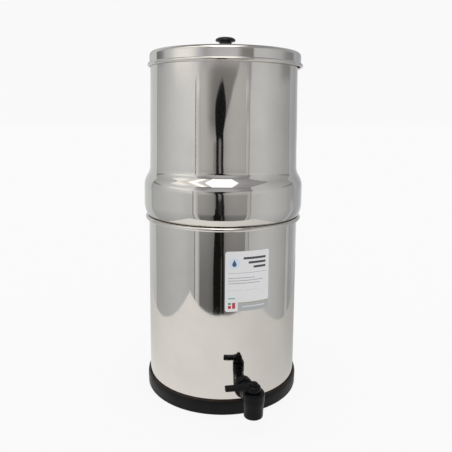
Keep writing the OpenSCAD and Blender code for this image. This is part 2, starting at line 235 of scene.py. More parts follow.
def plastic_material(name, base=(0.012, 0.012, 0.013), rough=0.42, spec=0.3, grain=0.00002, scale=900.0, wear=0.02):
    """Moulded plastic: fine grain, slightly uneven sheen, a few pale scuffs."""
    m, t, out = material(name)
    p = principled(t, out)
    obj = t.nodes.new("ShaderNodeTexCoord").outputs["Object"]
    p.inputs["Specular IOR Level"].default_value = spec
    blot = noise(t, obj, 60.0, 4.0, 0.6)
    fine = noise(t, obj, scale, 3.0, 0.6)
    scuff = noise(t, obj, 140.0, 6.0, 0.75, (1.0, 1.0, 0.35))
    light = tuple(min(1.0, c + wear) for c in base)
    c = mixed(t, spread(t, blot, 0.35, 0.7, 0.0, 0.35), base, light)
    c = mixed(t, spread(t, scuff, 0.66, 0.8, 0.0, 0.5), c, light)
    t.links.new(c, p.inputs["Base Color"])
    r = math(t, "ADD", math(t, "MULTIPLY", blot, 0.16), rough - 0.08)
    r = math(t, "ADD", r, spread(t, scuff, 0.62, 0.8, 0.0, 0.12))
    t.links.new(r, p.inputs["Roughness"])
    n = bump(t, blot, 0.5, 0.00008)
    n = bump(t, fine, 0.6, grain, n)
    t.links.new(n, p.inputs["Normal"])
    return m


# ------------------------------------------------------------------------- stage
world = bpy.data.worlds.new("studio")
scene.world = world
world.use_nodes = True
wt = world.node_tree
wt.nodes.clear()
wout = wt.nodes.new("ShaderNodeOutputWorld")
path = wt.nodes.new("ShaderNodeLightPath")
seen = node(wt, "ShaderNodeBackground", Color=(0.947, 0.947, 0.947, 1), Strength=1.0)
lit = node(wt, "ShaderNodeBackground", Color=(1.0, 1.0, 1.0, 1), Strength=1.02)
pick = wt.nodes.new("ShaderNodeMixShader")
wt.links.new(path.outputs["Is Camera Ray"], pick.inputs[0])
wt.links.new(lit.outputs[0], pick.inputs[1])
wt.links.new(seen.outputs[0], pick.inputs[2])
wt.links.new(pick.outputs[0], wout.inputs["Surface"])


def glossy_only(o):
    o.visible_camera = False
    o.visible_diffuse = False
    o.visible_shadow = False
    o.visible_transmission = False
    o.visible_volume_scatter = False
    return o


def sheet_mesh(name, grid):
    """A mesh from rows of points, with a UV map that runs 0..1 across and up."""
    bm = bmesh.new()
    uv = bm.loops.layers.uv.new("across")
    rows = [[bm.verts.new(p) for p in row] for row in grid]
    h, w = len(rows) - 1, len(rows[0]) - 1
    for j in range(h):
        for i in range(w):
            f = bm.faces.new((rows[j][i], rows[j][i + 1], rows[j + 1][i + 1], rows[j + 1][i]))
            for loop, (a, b) in zip(f.loops, ((i, j), (i + 1, j), (i + 1, j + 1), (i, j + 1))):
                loop[uv].uv = (a / w, b / h)
    me = bpy.data.meshes.new(name)
    bm.to_mesh(me)
    bm.free()
    o = bpy.data.objects.new(name, me)
    scene.collection.objects.link(o)
    return o


def card_material(name, tint, across, up, soft, low=None, turn=(0.0, 1.0)):
    """A lit card: tone across times tone up, edges faded out by soft = left, right, bottom, top.
    low is the tone across at the foot, which gives way to across between the heights turn."""
    m, t, out = material(name)
    uvn = node(t, "ShaderNodeUVMap", uv_map="across")
    sep = t.nodes.new("ShaderNodeSeparateXYZ")
    t.links.new(uvn.outputs[0], sep.inputs[0])
    u, v = sep.outputs[0], sep.outputs[1]
    a, b = ramp(t, u, across, "B_SPLINE"), ramp(t, v, up, "B_SPLINE")
    if low:
        foot = ramp(t, u, low, "B_SPLINE")
        a = math(t, "MULTIPLY_ADD", math(t, "SUBTRACT", a, foot), spread(t, v, turn[0], turn[1], 0.0, 1.0), foot)
    tone = math(t, "MULTIPLY", a, b)
    e = node(t, "ShaderNodeEmission", Color=(*tint, 1))
    t.links.new(math(t, "MULTIPLY", tone, 2.0), e.inputs["Strength"])
    mask = None
    for value, w in ((u, soft[0]), (math(t, "SUBTRACT", 1.0, u), soft[1]), (v, soft[2]), (math(t, "SUBTRACT", 1.0, v), soft[3])):
        if w > 0:
            k = spread(t, value, 0.0, w, 0.0, 1.0)
            mask = k if mask is None else math(t, "MULTIPLY", mask, k)
    if mask is None:
        t.links.new(e.outputs[0], out.inputs["Surface"])
    else:
        clear = t.nodes.new("ShaderNodeBsdfTransparent")
        mix = t.nodes.new("ShaderNodeMixShader")
        t.links.new(mask, mix.inputs[0])
        t.links.new(clear.outputs[0], mix.inputs[1])
        t.links.new(e.outputs[0], mix.inputs[2])
        t.links.new(mix.outputs[0], out.inputs["Surface"])
    return m


def card(name, a0, a1, z0, z1, r, across, up=((0, 1.0), (1, 1.0)), soft=(0, 0, 0, 0), tint=(1, 1, 1), lean=0.0, low=None, turn=(0, 1)):
    """A curved card round the object from azimuth a0 to a1 (degrees, 0 in front, + to the right), tones halved in the ramps.
    lean moves its top sideways, in degrees."""
    n, k = max(2, int(abs(a1 - a0) / 2)), 12
    grid = []
    for j in range(k + 1):
        v = j / k
        row = []
        for i in range(n + 1):
            a = radians(a0 + (a1 - a0) * i / n + lean * v)
            row.append(staged(r * sin(a), -r * cos(a), z0 + (z1 - z0) * v))
        grid.append(row)
    o = sheet_mesh("stage_" + name, grid)
    half = [(p, c / 2) for p, c in across]
    foot = [(p, c / 2) for p, c in low] if low else None
    at = [(z - z0) / (z1 - z0) for z in turn]
    o.data.materials.append(card_material("stage_" + name, tint, half, up, soft, foot, at))
    return glossy_only(o)


def flat_card(name, outline, y, tone, tint=(1, 1, 1)):
    """An upright card facing the object, y mm from it, with an outline of (x, z) points."""
    me = bpy.data.meshes.new("stage_" + name)
    me.from_pydata([staged(x, y, z) for x, z in outline], [], [list(range(len(outline)))])
    o = bpy.data.objects.new("stage_" + name, me)
    scene.collection.objects.link(o)
    m, t, out = material("stage_" + name)
    e = node(t, "ShaderNodeEmission", Color=(*tint, 1), Strength=tone)
    t.links.new(e.outputs[0], out.inputs["Surface"])
    me.materials.append(m)
    return glossy_only(o)


LOW, HIGH = -1600, 4200
# white surround behind the object, seen only at the very edges of the steel, and dim above it
card("surround_left", -185, -117.6, LOW, HIGH, 2300, [(0, 0.80), (0.6, 0.75), (1, 0.74)],
     low=[(0, 0.78), (0.6, 0.76), (1, 0.76)], turn=(-350, 250), up=[(0, 0.84), (0.16, 0.84), (0.25, 1.0), (1, 1.0)], tint=(0.97, 1.0, 1.03))
card("surround_right", 115.4, 185, LOW, HIGH, 2300, [(0, 0.56), (0.1, 0.55), (0.28, 0.46), (0.45, 0.48), (0.75, 0.80), (1, 1.0)],
     low=[(0, 0.46), (0.3, 0.52), (0.7, 0.85), (1, 1.0)], turn=(-350, 250), up=[(0, 0.82), (0.16, 0.82), (0.25, 1.0), (1, 1.0)], tint=(0.97, 0.99, 1.06))
card("surround_top", 128, 232, 520, HIGH, 2250, [(0, 0.62), (1, 0.62)], up=[(0, 0.46), (0.14, 0.46), (0.40, 0.95), (1, 1.0)],
     soft=(0.45, 0.45, 0.10, 0), tint=(0.98, 1.0, 1.03))
# grey side panels
card("side_left", -119.6, -39.8, LOW, HIGH, 2050,
     [(0, 0.50), (0.15, 0.54), (0.4, 0.70), (0.7, 0.86), (0.9, 0.88), (1, 0.90)],
     low=[(0, 0.62), (0.15, 0.66), (0.4, 0.75), (0.6, 0.80), (0.78, 0.80), (0.88, 0.71), (1, 0.70)], turn=(-150, 420),
     up=[(0, 0.70), (0.2, 0.80), (0.31, 0.95), (0.37, 1.04), (0.43, 1.0), (0.6, 0.96), (1, 0.9)], tint=(0.98, 1.01, 1.055))
card("side_right", 36.5, 117.6, LOW, HIGH, 2050,
     [(0, 0.70), (0.25, 0.78), (0.45, 0.68), (0.7, 0.56), (0.88, 0.46), (1, 0.45)],
     low=[(0, 0.62), (0.25, 0.76), (0.5, 0.70), (0.75, 0.58), (0.9, 0.49), (1, 0.50)], turn=(-150, 420),
     up=[(0, 0.83), (0.25, 0.95), (0.34, 1.0), (0.38, 0.99), (0.41, 0.92), (0.6, 0.90), (1, 0.80)], tint=(0.98, 1.0, 1.045))
card("shade_right_far", 84, 121, 570, 850, 2040, [(0, 0.42), (0.45, 0.33), (0.8, 0.29), (1, 0.29)], soft=(0.5, 0.08, 0.25, 0.5), tint=(0.98, 1.0, 1.04))
card("shade_left_far", -119.4, -94, 640, 850, 2040, [(0, 0.20), (0.4, 0.25), (1, 0.38)], soft=(0, 0.5, 0.25, 0.5), tint=(0.98, 1.0, 1.04))
# the surround starts earlier low down on the right
card("surround_low_right", 109.4, 118.5, LOW, -20, 2030, [(0, 0.58), (1, 0.60)], soft=(0, 0, 0, 0.02), tint=(0.97, 0.99, 1.06))
card("edge_low_right", 108.2, 109.9, LOW, -70, 2000, [(0, 0.33), (1, 0.33)], soft=(0.3, 0.3, 0, 0.02))
# narrow light strips at the joints of the panels, with a dark gap beside them
card("gap_left", -41.4, -40.2, LOW, 620, 2000, [(0, 0.22), (1, 0.22)], up=[(0, 0.9), (0.7, 1.0), (1, 2.6)], tint=(1.0, 1.0, 1.03))
card("strip_left", -40.1, -32.8, LOW, 620, 1990, [(0, 0.84), (0.45, 0.74), (0.75, 0.58), (1, 0.45)], up=[(0, 0.86), (0.55, 0.92), (0.8, 1.0), (1, 1.1)],
     soft=(0.05, 0.25, 0, 0.05), tint=(0.98, 1.0, 1.04))
card("gap_right", 32.6, 33.6, LOW, 600, 2000, [(0, 0.40), (1, 0.40)], soft=(0.2, 0.2, 0, 0.1))
card("strip_right", 33.4, 37.0, LOW, 700, 1990, [(0, 0.70), (1, 0.60)], up=[(0, 0.80), (0.72, 0.80), (0.82, 1.0), (0.86, 1.0), (0.91, 0.66), (1, 0.60)],
     soft=(0.15, 0.15, 0, 0.1), tint=(0.98, 1.0, 1.04))
card("gap_right_outer", 37.0, 39.0, LOW, 700, 1995, [(0, 0.34), (1, 0.40)], soft=(0.25, 0.4, 0, 0))
card("shade_right_top", 15, 41.2, 672, 880, 1985, [(0, 0.30), (0.6, 0.27), (1, 0.27)], soft=(0.45, 0.06, 0.15, 0.4), tint=(1.0, 0.98, 0.99))
card("edge_left", -120.2, -118.4, LOW, HIGH, 2000, [(0, 0.34), (1, 0.34)], soft=(0.3, 0.3, 0, 0))
card("edge_right", 116.0, 117.8, -90, HIGH, 2000, [(0, 0.34), (1, 0.34)], soft=(0.3, 0.3, 0.01, 0))
# darker, warmer middle panel, up to a little above the object
card("middle", -35.4, 33.0, LOW, 660, 2010,
     [(0, 0.66), (0.12, 0.64), (0.25, 0.55), (0.38, 0.44), (0.52, 0.46), (0.62, 0.58), (0.75, 0.64), (1, 0.58)],
     low=[(0, 0.50), (0.12, 0.52), (0.25, 0.50), (0.36, 0.36), (0.52, 0.36), (0.62, 0.56), (0.75, 0.60), (1, 0.62)], turn=(-620, -80),
     up=[(0, 0.34), (0.52, 0.40), (0.62, 0.50), (0.72, 0.70), (0.82, 0.95), (1, 0.96)], tint=(1.0, 0.998, 1.02))
# above it the grey that leads to the overhead light
card("upper_middle", -41.5, 42, 560, 1500, 2020, [(0, 0.88), (0.07, 0.74), (0.14, 0.54), (0.20, 0.52), (0.34, 0.75), (0.62, 0.76), (0.75, 0.66), (0.9, 0.50), (1, 0.48)],
     up=[(0, 1.0), (0.22, 1.0), (0.36, 0.72), (1, 0.62)], soft=(0.03, 0.03, 0.1, 0), tint=(0.97, 0.97, 1.05))
card("glow_left", -92, -41.2, 500, 1030, 1985, [(0, 0.85), (0.4, 1.28), (0.8, 1.28), (1, 1.0)], up=[(0, 0.7), (0.35, 0.86), (0.5, 1.0), (1, 0.95)],
     soft=(0.42, 0.10, 0.38, 0.55))


def dome_card(name, x0, x1, y0, y1, r, across, up=((0, 1.0), (1, 1.0)), soft=(0, 0, 0, 0), tint=(1, 1, 1)):
    """A card that covers, from the object, what a level ceiling light would: x and y in heights above it."""
    n, k = 36, 48
    grid = []
    for j in range(k + 1):
        y = y0 + (y1 - y0) * j / k
        row = []
        for i in range(n + 1):
            x = x0 + (x1 - x0) * i / n
            d = Vector((x, y, 1.0)).normalized() * r
            row.append(staged(d.x, d.y, d.z + 300))
        grid.append(row)
    o = sheet_mesh("stage_" + name, grid)
    half = [(p, c / 2) for p, c in across]
    o.data.materials.append(card_material("stage_" + name, tint, half, up, soft))
    return glossy_only(o)


# overhead light: a bright core, a dimmer left part that fades out, a pale violet right part
dome_card("light_core", -0.46, 0.40, -1.62, -0.12, 1900, [(0, 2.0), (0.9, 2.0), (1, 1.3)], soft=(0.05, 0.08, 0.12, 0.05))
dome_card("light_left", -1.25, -0.46, -1.5, -0.12, 1905, [(0, 1.1), (0.25, 1.1), (0.40, 0.62), (0.55, 1.85), (0.70, 1.85), (0.82, 0.80), (1, 0.8)], soft=(0.10, 0.0, 0.15, 0.05))
dome_card("light_glow", -2.4, -1.15, -1.15, -0.12, 1906, [(0, 0.80), (0.5, 1.1), (1, 1.4)], soft=(0.55, 0.05, 0.5, 0.1))
# the ceiling behind the light
dome_card("ceiling_back", -0.95, 0.95, -0.08, 0.85, 2240, [(0, 0.30), (0.5, 0.26), (1, 0.30)], soft=(0.32, 0.32, 0.01, 0.3), tint=(0.98, 1.0, 1.03))
dome_card("light_right", 0.36, 1.10, -1.66, -0.12, 1905, [(0, 0.52), (0.5, 0.38), (1, 0.40)], soft=(0.0, 0.02, 0.02, 0.02), tint=(1.0, 0.97, 1.06))
dome_card("light_frame", -1.30, 1.16, -1.86, -0.06, 1925, [(0, 0.26), (1, 0.26)], soft=(0.02, 0.02, 0.08, 0.02))
# a dark stand in front of the middle panel
flat_card("stand_top", [(-46, 573), (-130, 560), (-205, 540), (-263, 516), (-306, 490), (-320, 450), (-310, 390), (-290, 345), (-262, 312),
                        (6, 312), (2, 350), (60, 400), (92, 440), (98, 470), (78, 505), (42, 532), (4, 558)], -1500, 0.012, (1, 1, 1.1))
flat_card("stand_left_leg", [(-262, 314), (-240, 20), (-142, 20), (-166, 314)], -1500, 0.014)
flat_card("stand_right_leg", [(-84, 314), (-42, 20), (42, 20), (6, 314)], -1500, 0.018)
flat_card("stand_gap_upper", [(-172, 314), (-148, 20), (-38, 20), (-80, 314)], -1502, 0.24)
flat_card("stand_edge", [(-300, 300), (-278, 20), (-236, 20), (-258, 300)], -1502, 0.20)
flat_card("stand_halo", [(-385, 290), (-363, 20), (-276, 20), (-298, 290)], -1503, 0.30)
flat_card("stand_foot", [(-275, 22), (-345, -220), (-345, LOW), (-52, LOW), (-52, -160), (-150, 22)], -1500, 0.010)
flat_card("stand_bar", [(-34, 22), (-26, -160), (-26, LOW), (78, LOW), (72, -300), (60, -160), (22, 22)], -1500, 0.015)
flat_card("stand_fill", [(-190, 62), (-190, -60), (-52, -175), (58, -175), (58, 40), (10, 66)], -1501, 0.034)
flat_card("stand_gap", [(-53, -150), (-53, LOW), (-25, LOW), (-25, -150)], -1502, 0.13, (1.0, 0.95, 0.9))


def wedge(name, corners, across, up=((0, 1.0), (1, 1.0)), soft=(0, 0, 0, 0), tint=(1, 1, 1), y=-1530):
    """A card with four corners, (x, z) from the lower left anticlockwise, upright in front of the object."""
    (ax, az), (bx, bz), (cx, cz), (dx, dz) = corners
    grid = []
    for j in range(13):
        v = j / 12
        row = []
        for i in range(25):
            u = i / 24
            x = (ax + (bx - ax) * u) * (1 - v) + (dx + (cx - dx) * u) * v
            z = (az + (bz - az) * u) * (1 - v) + (dz + (cz - dz) * u) * v
            row.append(staged(x, y, z))
        grid.append(row)
    o = sheet_mesh("stage_" + name, grid)
    half = [(p, c / 2) for p, c in across]
    o.data.materials.append(card_material("stage_" + name, tint, half, up, soft))
    return glossy_only(o)


# soft shades beside the stand: one that widens upwards, one to the left of its legs
wedge("shade_up", ((-640, 260), (-240, 260), (-240, 430), (-780, 430)), [(0, 0.24), (1, 0.22)], soft=(0.75, 0.0, 1.0, 0.0), tint=(1.0, 0.99, 0.99))
wedge("shade_mid", ((-780, 429), (115, 415), (420, 560), (-840, 560)), [(0, 0.24), (0.6, 0.24), (1, 0.26)], up=[(0, 0.92), (1, 1.10)],
      soft=(0.46, 0.06, 0.0, 0.0), tint=(1.0, 0.99, 0.99))
wedge("shade_wide", ((-840, 559), (420, 559), (850, 675), (-880, 675)), [(0, 0.25), (0.6, 0.25), (1, 0.27)], up=[(0, 1.06), (0.4, 1.3), (1, 1.5)],
      soft=(0.44, 0.05, 0.0, 0.75), tint=(1.0, 0.99, 0.99))
wedge("shade_low", ((-760, LOW), (-200, LOW), (-200, -60), (-520, -60)), [(0, 0.16), (1, 0.08)], soft=(0.8, 0.0, 0.0, 0.35))

# The table's white top as the steel sees it, with painted light: its glow is brighter towards the front left and dimmer
# behind the object
me = bpy.data.meshes.new("stage_table")
outline = [(-380, 700), (-380, 0), (-413, -410), (0, -457), (405, -420), (370, 0), (370, 700)]
me.from_pydata([staged(x, y, -1.5) for x, y in outline], [], [list(range(len(outline)))])
table = bpy.data.objects.new("stage_table", me)
scene.collection.objects.link(table)
m, t, out = material("stage_table")
tc = t.nodes.new("ShaderNodeTexCoord")
sep = t.nodes.new("ShaderNodeSeparateXYZ")
t.links.new(tc.outputs["Object"], sep.inputs[0])
flat = t.nodes.new("ShaderNodeCombineXYZ")
t.links.new(sep.outputs[0], flat.inputs[0])
t.links.new(sep.outputs[1], flat.inputs[1])
unit = t.nodes.new("ShaderNodeVectorMath")
unit.operation = "NORMALIZE"
t.links.new(flat.outputs[0], unit.inputs[0])
dot = t.nodes.new("ShaderNodeVectorMath")
dot.operation = "DOT_PRODUCT"
t.links.new(unit.outputs[0], dot.inputs[0])
away = staged(-0.10, -0.13, -1.2) / MM
dot.inputs[1].default_value = away
e = node(t, "ShaderNodeEmission", Color=(1.0, 1.0, 1.0, 1))
ahead, right = (staged(0, -1, -1.2) / MM, staged(1, 0, -1.2) / MM)
parts = []
for heading in (ahead, right):
    d = t.nodes.new("ShaderNodeVectorMath")
    d.operation = "DOT_PRODUCT"
    t.links.new(unit.outputs[0], d.inputs[0])
    d.inputs[1].default_value = heading
    parts.append(d.outputs["Value"])
behind = math(t, "MAXIMUM", math(t, "SUBTRACT", 0.1, parts[0]), 0.0)
less = math(t, "MULTIPLY", behind, math(t, "MULTIPLY_ADD", parts[1], 0.05, 0.165))
t.links.new(math(t, "SUBTRACT", math(t, "ADD", dot.outputs["Value"], 0.81), less), e.inputs["Strength"])
t.links.new(e.outputs[0], out.inputs["Surface"])
me.materials.append(m)
glossy_only(table)

# The floor that the camera sees: pale, plain, lit by the studio
me = bpy.data.meshes.new("stage_floor")
me.from_pydata([(-20, -20, -0.0002), (20, -20, -0.0002), (20, 20, -0.0002), (-20, 20, -0.0002)], [], [[0, 1, 2, 3]])
floor = bpy.data.objects.new("stage_floor", me)
scene.collection.objects.link(floor)
m, t, out = material("stage_floor")
d = node(t, "ShaderNodeBsdfDiffuse", Color=(0.90, 0.90, 0.90, 1))
e = node(t, "ShaderNodeEmission", Color=(1, 1, 1, 1), Strength=0.96)
mix = t.nodes.new("ShaderNodeMixShader")
mix.inputs[0].default_value = 0.93
t.links.new(d.outputs[0], mix.inputs[1])
t.links.new(e.outputs[0], mix.inputs[2])
t.links.new(mix.outputs[0], out.inputs["Surface"])
me.materials.append(m)
floor.visible_glossy = False


# ------------------------------------------------------------------ mesh helpers
def arc(cx, cz, rx, rz, a0, a1, n):
    return [(cx + rx * cos(radians(a0 + (a1 - a0) * i / n)), cz + rz * sin(radians(a0 + (a1 - a0) * i / n))) for i in range(n + 1)]


def between(p, q, n):
    """Points from p to q, without q."""
    return [(p[0] + (q[0] - p[0]) * i / n, p[1] + (q[1] - p[1]) * i / n) for i in range(n)]


def tidy(path, least=1e-4):
    out = [path[0]]
    for p in path[1:]:
        if hypot(p[0] - out[-1][0], p[1] - out[-1][1]) > least:
            out.append(p)
    return out


def beside(path, d):
    """The path moved d to its left, mitred."""
    out = []
    n = len(path)
    for i, p in enumerate(path):
        a = path[i - 1] if i else path[0]
        b = path[i] if i else path[1]
        c, e = (path[i], path[i + 1]) if i < n - 1 else (a, b)
        u = Vector((b[0] - a[0], b[1] - a[1])).normalized()
        v = Vector((e[0] - c[0], e[1] - c[1])).normalized()
        nu, nv = Vector((-u.y, u.x)), Vector((-v.y, v.x))
        m = (nu + nv).normalized()
        m /= max(0.3, m.dot(nu))
        out.append((p[0] + d * m.x, p[1] + d * m.y))
    return out


def lathe(name, loop, around=288, turn=None):
    """A closed outline of (r, z) in mm, turned about Z. turn(r, z, angle) may change the radius."""
    bm = bmesh.new()
    rings = []
    for r, z in loop:
        if r < 1e-6:
            rings.append([bm.verts.new((0, 0, z * MM))])
        else:
            ring = []
            for i in range(around):
                a = 2 * pi * i / around
                q = turn(r, z, a) if turn else r
                ring.append(bm.verts.new((q * MM * cos(a), q * MM * sin(a), z * MM)))
            rings.append(ring)
    for k in range(len(rings)):
        p, q = rings[k], rings[(k + 1) % len(rings)]
        if len(p) == 1 and len(q) == 1:
            continue
        for i in range(around):
            j = (i + 1) % around
            if len(p) == 1:
                bm.faces.new((p[0], q[i], q[j]))
            elif len(q) == 1:
                bm.faces.new((p[i], q[0], p[j]))
            else:
                bm.faces.new((p[i], q[i], q[j], p[j]))
    bmesh.ops.recalc_face_normals(bm, faces=bm.faces)
    for f in bm.faces:
        f.smooth = True
    me = bpy.data.meshes.new(name)
    bm.to_mesh(me)
    bm.free()
    o = bpy.data.objects.new(name, me)
    scene.collection.objects.link(o)
    return o


def soften(o, angle=40):
    """Sharp edges kept sharp, and normals led by the larger faces, so that arcs don't bend the reflections of straight walls."""
    bm = bmesh.new()
    bm.from_mesh(o.data)
    for e in bm.edges:
        if len(e.link_faces) == 2 and e.calc_face_angle() > radians(angle):
            e.smooth = False
    bm.to_mesh(o.data)
    bm.free()
    w = o.modifiers.new("normals", "WEIGHTED_NORMAL")
    w.keep_sharp = True
    w.weight = 100
    return o


def shell(path, t):
    """The closed outline of a sheet of thickness t along a path."""
    path = tidy(path)
    return beside(path, t / 2) + beside(path, -t / 2)[::-1]


def round_ends(path, t, n=5):
    """As shell, but with the last edge of the sheet rounded over."""
    path = tidy(path)
    a, b = beside(path, t / 2), beside(path, -t / 2)
    c = path[-1]
    s = atan2(a[-1][1] - c[1], a[-1][0] - c[0])
    end = [(c[0] + t / 2 * cos(s - pi * i / n), c[1] + t / 2 * sin(s - pi * i / n)) for i in range(1, n)]
    return a + end + b[::-1]


def drill(o, cutters):
    """Cuts holes, each (location in mm, axis, radius, length), and applies them."""
    for loc, axis, r, length in cutters:
        bm = bmesh.new()
        bmesh.ops.create_cone(bm, cap_ends=True, segments=64, radius1=r * MM, radius2=r * MM, depth=length * MM)
        rot = Vector((0, 0, 1)).rotation_difference(Vector(axis)).to_matrix().to_4x4()
        bm.transform(Matrix.Translation(Vector(loc) * MM) @ rot)
        me = bpy.data.meshes.new("cutter")
        bm.to_mesh(me)
        bm.free()
        c = bpy.data.objects.new("cutter", me)
        scene.collection.objects.link(c)
        b = o.modifiers.new("hole", "BOOLEAN")
        b.operation, b.solver, b.object = "DIFFERENCE", "EXACT", c
        bpy.context.view_layer.update()
        dg = bpy.context.evaluated_depsgraph_get()
        cut = bpy.data.meshes.new_from_object(o.evaluated_get(dg))
        o.modifiers.clear()
        old = o.data
        o.data = cut
        bpy.data.meshes.remove(old)
        bpy.data.objects.remove(c)
        bpy.data.meshes.remove(me)
    for f in o.data.polygons:
        f.use_smooth = True
    return o


def stands_for(o, body, slot, *names):
    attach(o, body)
    if names:
        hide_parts(*names)
    return o


def fuse(name, parts, voxel=0.4, passes=6):
    """Closed parts that overlap, made one moulded body with soft inner corners. voxel in mm."""
    bm = bmesh.new()
    for o in parts:
        tmp = o.data.copy()
        tmp.transform(o.matrix_basis)
        bm.from_mesh(tmp)
        bpy.data.meshes.remove(tmp)
    me = bpy.data.meshes.new(name)
    bm.to_mesh(me)
    bm.free()
    for o in parts:
        old = o.data
        bpy.data.objects.remove(o)
        bpy.data.meshes.remove(old)
    o = bpy.data.objects.new(name, me)
    scene.collection.objects.link(o)
    r = o.modifiers.new("one_body", "REMESH")
    r.mode, r.voxel_size, r.adaptivity = "VOXEL", voxel * MM, 0.0
    k = o.modifiers.new("rounded", "SMOOTH")
    k.factor, k.iterations = 0.5, passes
    bpy.context.view_layer.update()
    done = bpy.data.meshes.new_from_object(o.evaluated_get(bpy.context.evaluated_depsgraph_get()))
    o.modifiers.clear()
    o.data = done
    bpy.data.meshes.remove(me)
    for f in done.polygons:
        f.use_smooth = True
    return o


def placed(o, matrix):
    """Moves the mesh itself, in metres."""
    o.data.transform(matrix)
    return o


def keep_sharp(o, angle=45):
    bm = bmesh.new()
    bm.from_mesh(o.data)
    for e in bm.edges:
        if len(e.link_faces) == 2 and e.calc_face_angle() > radians(angle):
            e.smooth = False
    bm.to_mesh(o.data)
    bm.free()
    return o


def painted(o, m):
    o.data.materials.clear()
    o.data.materials.append(m)
    return o


# ------------------------------------------------------------------ more materials
def ring_material():
    """Black moulded ring: fine grain round it, dull sheen, a brownish painted highlight along the upper edge, dusty
    scuffs.
    """
    m, t, out = material("base_plastic")
    p = principled(t, out)
    p.inputs["Specular IOR Level"].default_value = 0.13
    obj, ang, rad, z = polar(t)
    comb = t.nodes.new("ShaderNodeCombineXYZ")
    t.links.new(math(t, "MULTIPLY", ang, 60.0), comb.inputs[0])
    t.links.new(math(t, "MULTIPLY", z, 700.0), comb.inputs[1])
    streak = node(t, "ShaderNodeTexNoise", Scale=1.0, Detail=4.0, Roughness=0.65)
    t.links.new(comb.outputs[0], streak.inputs["Vector"])
    blot = noise(t, obj, 45.0, 4.0, 0.6)
    fine = noise(t, obj, 1100.0, 3.0, 0.6)
    c = mixed(t, spread(t, blot, 0.35, 0.7, 0.0, 1.0), (0.0030, 0.0030, 0.0032), (0.0062, 0.0062, 0.0060))
    c = mixed(t, spread(t, streak.outputs["Fac"], 0.5, 0.8, 0.0, 0.6), c, (0.011, 0.011, 0.011))
    # painted highlight: the top 2.5 mm of the ring is tinted brownish, standing in for a reflection along the lip
    edge = math(t, "MULTIPLY", spread(t, z, 0.0178, 0.0200, 0.0, 1.0), spread(t, blot, 0.25, 0.6, 0.5, 1.0))
    c = mixed(t, edge, c, (0.030, 0.017, 0.012))
    t.links.new(c, p.inputs["Base Color"])
    r = math(t, "ADD", math(t, "MULTIPLY", streak.outputs["Fac"], 0.22), 0.30)
    t.links.new(math(t, "ADD", r, spread(t, blot, 0.4, 0.75, 0.0, 0.1)), p.inputs["Roughness"])
    n = bump(t, streak.outputs["Fac"], 0.5, 0.00004)
    t.links.new(bump(t, fine, 0.5, 0.000015, n), p.inputs["Normal"])
    return m


def ceramic_material():
    """Filter ceramic: chalky off-white with fine pores and faint turning rings."""
    m, t, out = material("ceramic")
    p = principled(t, out)
    p.inputs["Specular IOR Level"].default_value = 0.25
    tc = t.nodes.new("ShaderNodeTexCoord").outputs["Object"]
    blot = noise(t, tc, 35.0, 5.0, 0.6)
    pore = noise(t, tc, 900.0, 4.0, 0.7)
    rings = noise(t, tc, 6.0, 3.0, 0.6, (0.2, 0.2, 60.0))
    c = mixed(t, spread(t, blot, 0.3, 0.7, 0.0, 1.0), (0.80, 0.77, 0.69), (0.74, 0.70, 0.61))
    c = mixed(t, spread(t, pore, 0.62, 0.8, 0.0, 0.5), c, (0.52, 0.48, 0.40))
    t.links.new(c, p.inputs["Base Color"])
    t.links.new(math(t, "ADD", math(t, "MULTIPLY", blot, 0.2), 0.72), p.inputs["Roughness"])
    n = bump(t, pore, 0.6, 0.00006)
    t.links.new(bump(t, rings, 0.4, 0.00012, n), p.inputs["Normal"])
    return m


def carbon_material():
    """Pressed carbon: black grains with tiny bright facets."""
    m, t, out = material("carbon")
    p = principled(t, out)
    tc = t.nodes.new("ShaderNodeTexCoord").outputs["Object"]
    v = node(t, "ShaderNodeTexVoronoi", Scale=700.0)
    t.links.new(tc, v.inputs["Vector"])
    t.links.new(mixed(t, v.outputs["Distance"], (0.010, 0.010, 0.010), (0.035, 0.034, 0.033)), p.inputs["Base Color"])
    t.links.new(spread(t, noise(t, tc, 400.0), 0.3, 0.7, 0.55, 0.95), p.inputs["Roughness"])
    t.links.new(bump(t, v.outputs["Distance"], 0.7, 0.0003), p.inputs["Normal"])
    return m


